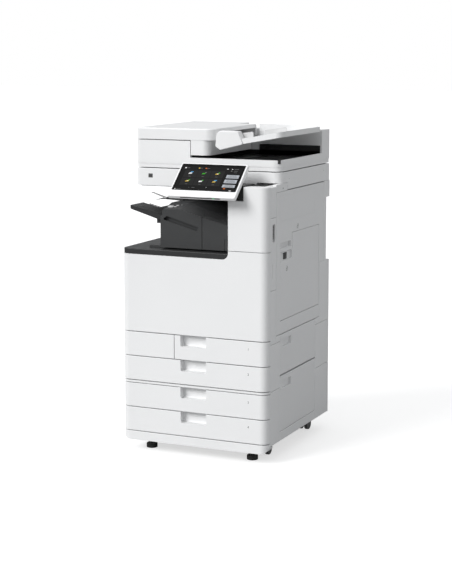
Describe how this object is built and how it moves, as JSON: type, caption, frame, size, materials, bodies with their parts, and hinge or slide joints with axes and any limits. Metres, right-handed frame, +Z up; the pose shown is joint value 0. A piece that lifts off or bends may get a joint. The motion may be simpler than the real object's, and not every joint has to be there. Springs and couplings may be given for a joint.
{
  "type": "photocopier",
  "caption": "Floor-standing office photocopier with document feeder, tilting touch panel, inner stapling finisher, paper drawers, side doors and casters.",
  "frame": {"origin": "centre of the machine's bounding box, on the floor", "axes": "+Z up, the operator stands at -Y, +X is the operator's right"},
  "size_m": [0.565, 0.722, 1.1605],
  "materials": {
    "cover_white": "fine grained moulded plastic, near white",
    "door_white": "fine grained moulded plastic, near white",
    "reader_white": "fine grained moulded plastic, near white",
    "skirt_white": "fine grained moulded plastic, near white",
    "frame_steel": "zinc plated sheet steel",
    "delivery_dark": "dark charcoal moulded plastic",
    "finisher_dark": "dark charcoal moulded plastic",
    "stack_tray_black": "black ribbed plastic",
    "button_grey": "grey plastic key",
    "arm_black": "black moulded plastic",
    "panel_white": "satin white plastic",
    "screen_glass": "black glass of a touch screen",
    "platen_glass": "clear glass",
    "switch_black": "black plastic rocker",
    "tray_grey": "grey moulded plastic",
    "plate_steel": "zinc plated steel sheet",
    "foot_black": "black rubber and plated steel stud",
    "caster_grey": "dark caster body",
    "wheel_grey": "dark nylon wheel",
    "roller_rubber": "rubber pickup roller",
    "guide_white": "light grey plastic",
    "carriage_black": "black plastic",
    "hinge_steel": "steel bracket",
    "laser_black": "black plastic housing",
    "drum_dark": "dark plastic unit with a coated drum",
    "toner_body": "plastic bottle",
    "belt_black": "dark belt",
    "fuser_metal": "sheet steel",
    "heat_roller": "coated roller",
    "pressure_roller": "silicone rubber roller",
    "supply_metal": "sheet steel box",
    "rear_white": "fine grained moulded plastic, near white"
  },
  "bodies": {
    "machine_frame": {"lower_frame": "frame_steel", "main_frame": "frame_steel", "base_skirt": "skirt_white", "cassette_1_filler": "cover_white", "left_covers": "cover_white", "rear_covers": "rear_white", "right_covers": "cover_white", "tower_cover": "cover_white", "delivery_tray": "delivery_dark", "levelling_feet": "foot_black", "rear_caster_brackets": "caster_grey", "reader_case": "reader_white", "platen_glass": "platen_glass", "feeder_hinges": "hinge_steel", "panel_arm": "arm_black", "laser_scanner": "laser_black", "drum_units": "drum_dark", "transfer_belt_unit": "belt_black", "toner_cartridges": "toner_body", "fuser_unit": "fuser_metal", "power_supply": "supply_metal"},
    "front_cover": {"front_cover": "cover_white"},
    "power_switch": {"power_switch": "switch_black"},
    "right_door": {"right_door": "door_white"},
    "bypass_tray": {"bypass_tray": "door_white"},
    "middle_door": {"middle_door": "door_white"},
    "lower_door": {"lower_door": "door_white"},
    "scan_carriage": {"scan_carriage": "carriage_black"},
    "feeder": {"feeder_base": "reader_white"},
    "feeder_top_cover": {"feeder_top_cover": "reader_white"},
    "feed_roller": {"feed_roller": "roller_rubber"},
    "document_tray": {"document_tray": "reader_white"},
    "document_guide_front": {"document_guide_front": "guide_white"},
    "document_guide_rear": {"document_guide_rear": "guide_white"},
    "control_panel": {"panel_housing": "panel_white", "panel_glass": "screen_glass"},
    "finisher": {"finisher_body": "finisher_dark"},
    "staple_door": {"staple_door": "finisher_dark"},
    "staple_button": {"staple_button": "button_grey"},
    "finisher_tray": {"finisher_tray": "stack_tray_black"},
    "fuser_heat_roller": {"fuser_heat_roller": "heat_roller"},
    "fuser_pressure_roller": {"fuser_pressure_roller": "pressure_roller"},
    "cassette_1": {"cassette_1_front": "cover_white", "cassette_1_tray": "tray_grey"},
    "cassette_1_lift": {"cassette_1_lift_plate": "plate_steel"},
    "cassette_2": {"cassette_2_front": "cover_white", "cassette_2_tray": "tray_grey"},
    "cassette_2_lift": {"cassette_2_lift_plate": "plate_steel"},
    "cassette_3": {"cassette_3_front": "cover_white", "cassette_3_tray": "tray_grey"},
    "cassette_3_lift": {"cassette_3_lift_plate": "plate_steel"},
    "cassette_4": {"cassette_4_front": "cover_white", "cassette_4_tray": "tray_grey"},
    "cassette_4_lift": {"cassette_4_lift_plate": "plate_steel"},
    "front_caster_left": {"front_caster_fork_left": "caster_grey"},
    "front_wheel_left": {"front_wheel_left": "wheel_grey"},
    "rear_wheel_left": {"rear_wheel_left": "wheel_grey"},
    "front_caster_right": {"front_caster_fork_right": "caster_grey"},
    "front_wheel_right": {"front_wheel_right": "wheel_grey"},
    "rear_wheel_right": {"rear_wheel_right": "wheel_grey"}
  },
  "joints": [
    {"name": "cassette_1_slide", "type": "slide", "parent": "machine_frame", "child": "cassette_1", "axis": [0, -1, 0], "range_m": [0, 0.36]},
    {"name": "cassette_1_lift", "type": "hinge", "parent": "cassette_1", "child": "cassette_1_lift", "pos_m": [-0.0095, -0.099, 0.363], "axis": [0, -1, 0], "range_deg": [0, 5]},
    {"name": "cassette_2_slide", "type": "slide", "parent": "machine_frame", "child": "cassette_2", "axis": [0, -1, 0], "range_m": [0, 0.36]},
    {"name": "cassette_2_lift", "type": "hinge", "parent": "cassette_2", "child": "cassette_2_lift", "pos_m": [-0.185, -0.099, 0.2745], "axis": [0, -1, 0], "range_deg": [0, 5]},
    {"name": "cassette_3_slide", "type": "slide", "parent": "machine_frame", "child": "cassette_3", "axis": [0, -1, 0], "range_m": [0, 0.36]},
    {"name": "cassette_3_lift", "type": "hinge", "parent": "cassette_3", "child": "cassette_3_lift", "pos_m": [-0.185, -0.099, 0.176], "axis": [0, -1, 0], "range_deg": [0, 5]},
    {"name": "cassette_4_slide", "type": "slide", "parent": "machine_frame", "child": "cassette_4", "axis": [0, -1, 0], "range_m": [0, 0.36]},
    {"name": "cassette_4_lift", "type": "hinge", "parent": "cassette_4", "child": "cassette_4_lift", "pos_m": [-0.185, -0.099, 0.0875], "axis": [0, -1, 0], "range_deg": [0, 5]},
    {"name": "front_cover_open", "type": "hinge", "parent": "machine_frame", "child": "front_cover", "pos_m": [0, -0.2945, 0.443], "axis": [1, 0, 0], "range_deg": [0, 90]},
    {"name": "power_switch_rock", "type": "hinge", "parent": "machine_frame", "child": "power_switch", "pos_m": [0.2749, -0.24275, 0.8105], "axis": [0, 1, 0], "range_deg": [-3.5, 3.5]},
    {"name": "right_door_open", "type": "hinge", "parent": "machine_frame", "child": "right_door", "pos_m": [0.278, 0.2405, 0.7], "axis": [0, 0, 1], "range_deg": [0, 90]},
    {"name": "bypass_tray_open", "type": "hinge", "parent": "right_door", "child": "bypass_tray", "pos_m": [0.278, 0.001, 0.5], "axis": [0, 1, 0], "range_deg": [0, 60]},
    {"name": "middle_door_open", "type": "hinge", "parent": "machine_frame", "child": "middle_door", "pos_m": [0.278, 0.1585, 0.37], "axis": [0, 0, 1], "range_deg": [0, 90]},
    {"name": "lower_door_open", "type": "hinge", "parent": "machine_frame", "child": "lower_door", "pos_m": [0.278, 0.1585, 0.19], "axis": [0, 0, 1], "range_deg": [0, 90]},
    {"name": "scan_carriage_slide", "type": "slide", "parent": "machine_frame", "child": "scan_carriage", "axis": [1, 0, 0], "range_m": [0, 0.42]},
    {"name": "feeder_lift", "type": "hinge", "parent": "machine_frame", "child": "feeder", "pos_m": [0, 0.288, 1.031], "axis": [-1, 0, 0], "range_deg": [0, 60]},
    {"name": "feeder_cover_open", "type": "hinge", "parent": "feeder", "child": "feeder_top_cover", "pos_m": [-0.278, 0.001, 1.12], "axis": [0, -1, 0], "range_deg": [0, 60]},
    {"name": "feed_roller_spin", "type": "hinge", "parent": "feeder_top_cover", "child": "feed_roller", "pos_m": [-0.0155, 0.0195, 1.122], "axis": [0, 1, 0], "continuous": true},
    {"name": "document_tray_lift", "type": "hinge", "parent": "feeder", "child": "document_tray", "pos_m": [0.0575, 0.001, 1.10496], "axis": [0, -1, 0], "range_deg": [0, 12]},
    {"name": "document_guide_front_slide", "type": "slide", "parent": "document_tray", "child": "document_guide_front", "axis": [0, 1, 0], "range_m": [0, 0.06]},
    {"name": "document_guide_rear_slide", "type": "slide", "parent": "document_tray", "child": "document_guide_rear", "axis": [0, 1, 0], "range_m": [-0.06, 0]},
    {"name": "panel_tilt", "type": "hinge", "parent": "machine_frame", "child": "control_panel", "pos_m": [0.087, -0.261, 0.9625], "axis": [1, 0, 0], "range_deg": [-25, 30]},
    {"name": "finisher_slide", "type": "slide", "parent": "machine_frame", "child": "finisher", "axis": [-1, 0, 0], "range_m": [0, 0.12]},
    {"name": "staple_door_open", "type": "hinge", "parent": "finisher", "child": "staple_door", "pos_m": [0.0245, -0.2595, 0.76], "axis": [0, 0, -1], "range_deg": [0, 90]},
    {"name": "finisher_tray_lower", "type": "slide", "parent": "finisher", "child": "finisher_tray", "axis": [0, 0, -1], "range_m": [0, 0.045]},
    {"name": "staple_button_press", "type": "slide", "parent": "finisher", "child": "staple_button", "axis": [0, 0.2669, -0.9637], "range_m": [0, 0.0015], "stiffness_N_per_m": 400},
    {"name": "fuser_heat_roller_spin", "type": "hinge", "parent": "machine_frame", "child": "fuser_heat_roller", "pos_m": [0.1967, -0.044, 0.7495], "axis": [0, 1, 0], "continuous": true},
    {"name": "fuser_pressure_roller_spin", "type": "hinge", "parent": "machine_frame", "child": "fuser_pressure_roller", "pos_m": [0.235, -0.044, 0.7495], "axis": [0, 1, 0], "continuous": true},
    {"name": "front_caster_left_swivel", "type": "hinge", "parent": "machine_frame", "child": "front_caster_left", "pos_m": [-0.213, -0.163, 0.05], "axis": [0, 0, 1], "continuous": true},
    {"name": "front_wheel_left_roll", "type": "hinge", "parent": "front_caster_left", "child": "front_wheel_left", "pos_m": [-0.213, -0.151, 0.022], "axis": [1, 0, 0], "continuous": true},
    {"name": "rear_wheel_left_roll", "type": "hinge", "parent": "machine_frame", "child": "rear_wheel_left", "pos_m": [-0.213, 0.237, 0.022], "axis": [1, 0, 0], "continuous": true},
    {"name": "front_caster_right_swivel", "type": "hinge", "parent": "machine_frame", "child": "front_caster_right", "pos_m": [0.213, -0.163, 0.05], "axis": [0, 0, 1], "continuous": true},
    {"name": "front_wheel_right_roll", "type": "hinge", "parent": "front_caster_right", "child": "front_wheel_right", "pos_m": [0.213, -0.151, 0.022], "axis": [1, 0, 0], "continuous": true},
    {"name": "rear_wheel_right_roll", "type": "hinge", "parent": "machine_frame", "child": "rear_wheel_right", "pos_m": [0.213, 0.237, 0.022], "axis": [1, 0, 0], "continuous": true}
  ],
  "couplings": [
    {"joint": "fuser_pressure_roller_spin", "follows": "fuser_heat_roller_spin", "ratio": -1},
    {"joint": "document_guide_rear_slide", "follows": "document_guide_front_slide", "ratio": -1}
  ]
}
